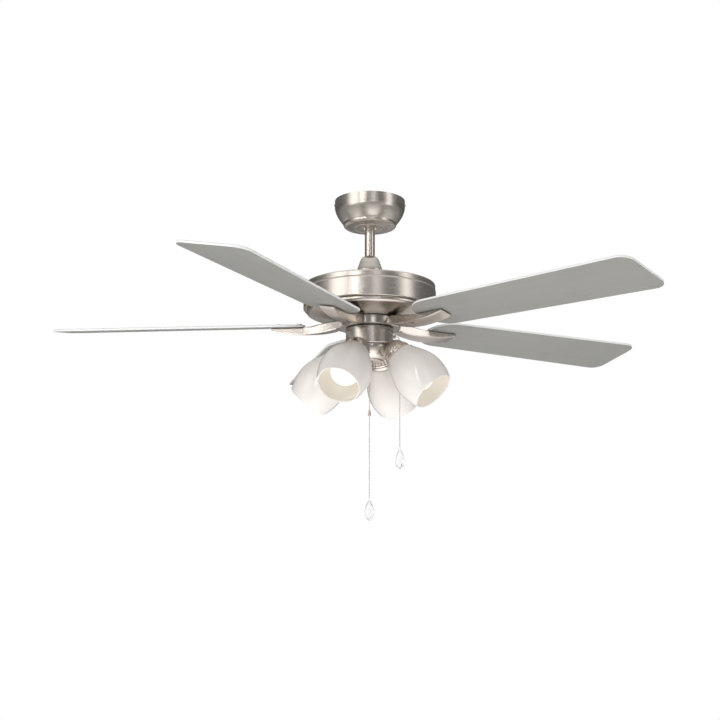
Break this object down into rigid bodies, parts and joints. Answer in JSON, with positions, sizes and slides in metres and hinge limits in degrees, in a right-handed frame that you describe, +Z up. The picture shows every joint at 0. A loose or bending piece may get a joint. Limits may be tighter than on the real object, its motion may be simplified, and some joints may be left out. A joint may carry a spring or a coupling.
{
  "type": "ceiling fan with light",
  "caption": "Ceiling fan on a short downrod with a brushed nickel motor housing, pitched silver blades, a switch housing, frosted glass shades on a light kit and two pull chains.",
  "frame": {"origin": "middle of the hanger bracket's top face, where it meets the ceiling", "axes": "+Z up; +X to the side where the fan's pull chain leaves; -Y is the front; the rotor turns about Z"},
  "size_m": [1.2595, 1.2797, 0.6739],
  "materials": {
    "nickel": "brushed nickel, satin",
    "plated_steel": "zinc plated",
    "motor_iron": "bare and lacquered iron",
    "bearing_steel": "ground",
    "ball_rubber": "matt",
    "blade_board": "plywood painted silver grey, satin",
    "frosted_glass": "frosted white",
    "bulb_glass": "soft white",
    "socket_ceramic": "glazed",
    "switch_plastic": "moulded",
    "fob_crystal": "clear, polished"
  },
  "bodies": {
    "ceiling_mount": {"hanger_bracket": "plated_steel", "canopy": "nickel", "canopy_screw_1": "nickel", "canopy_screw_2": "nickel"},
    "fan_frame": {"hanger_ball": "ball_rubber", "ball_cross_pin": "bearing_steel", "downrod": "nickel", "motor_coupling": "plated_steel", "coupling_pin": "bearing_steel", "coupling_cover": "nickel", "motor_housing": "nickel", "motor_lower_cover": "nickel", "motor_shaft": "bearing_steel", "upper_bearing": "bearing_steel", "lower_bearing": "bearing_steel", "stator": "motor_iron", "switch_housing": "nickel", "switch_plate": "plated_steel", "chain_ferrule": "nickel", "speed_switch": "switch_plastic", "capacitor": "switch_plastic", "reverse_switch": "switch_plastic", "light_fitter": "nickel", "chain_bushing": "nickel", "light_switch": "switch_plastic", "lamp_holder_1": "nickel", "lamp_holder_2": "nickel", "lamp_holder_3": "nickel", "lamp_holder_4": "nickel", "lamp_socket_1": "socket_ceramic", "lamp_socket_2": "socket_ceramic", "lamp_socket_3": "socket_ceramic", "lamp_socket_4": "socket_ceramic", "bulb_1": "bulb_glass", "bulb_2": "bulb_glass", "bulb_3": "bulb_glass", "bulb_4": "bulb_glass", "glass_shade_1": "frosted_glass", "glass_shade_2": "frosted_glass", "glass_shade_3": "frosted_glass", "glass_shade_4": "frosted_glass"},
    "rotor": {"rotor_shell": "motor_iron", "rotor_cover": "motor_iron", "flywheel": "motor_iron", "blade_arm_1": "nickel", "blade_arm_2": "nickel", "blade_arm_3": "nickel", "blade_arm_4": "nickel", "blade_arm_5": "nickel", "blade_1": "blade_board", "blade_2": "blade_board", "blade_3": "blade_board", "blade_4": "blade_board", "blade_5": "blade_board"},
    "fan_pull": {"fan_chain": "plated_steel", "fan_fob": "fob_crystal"},
    "light_pull": {"light_chain": "plated_steel", "chain_connector": "nickel", "light_fob": "fob_crystal"},
    "reverse_knob": {"reverse_slider": "switch_plastic"}
  },
  "joints": [
    {"name": "hanger_swing", "type": "hinge", "parent": "ceiling_mount", "child": "fan_frame", "pos_m": [0, 0, -0.03], "axis": [0, 1, 0], "range_deg": [-4, 4]},
    {"name": "rotor_spin", "type": "hinge", "parent": "fan_frame", "child": "rotor", "pos_m": [0, 0, -0.26785], "axis": [0, 0, 1], "continuous": true},
    {"name": "fan_chain_pull", "type": "slide", "parent": "fan_frame", "child": "fan_pull", "axis": [0, 0, -1], "range_m": [0, 0.008], "stiffness_N_per_m": 300, "springref_m": -0.003},
    {"name": "light_chain_pull", "type": "slide", "parent": "fan_frame", "child": "light_pull", "axis": [0, 0, -1], "range_m": [0, 0.008], "stiffness_N_per_m": 300, "springref_m": -0.003},
    {"name": "reverse_slide", "type": "slide", "parent": "fan_frame", "child": "reverse_knob", "axis": [0, 0, -1], "range_m": [0, 0.005]}
  ]
}
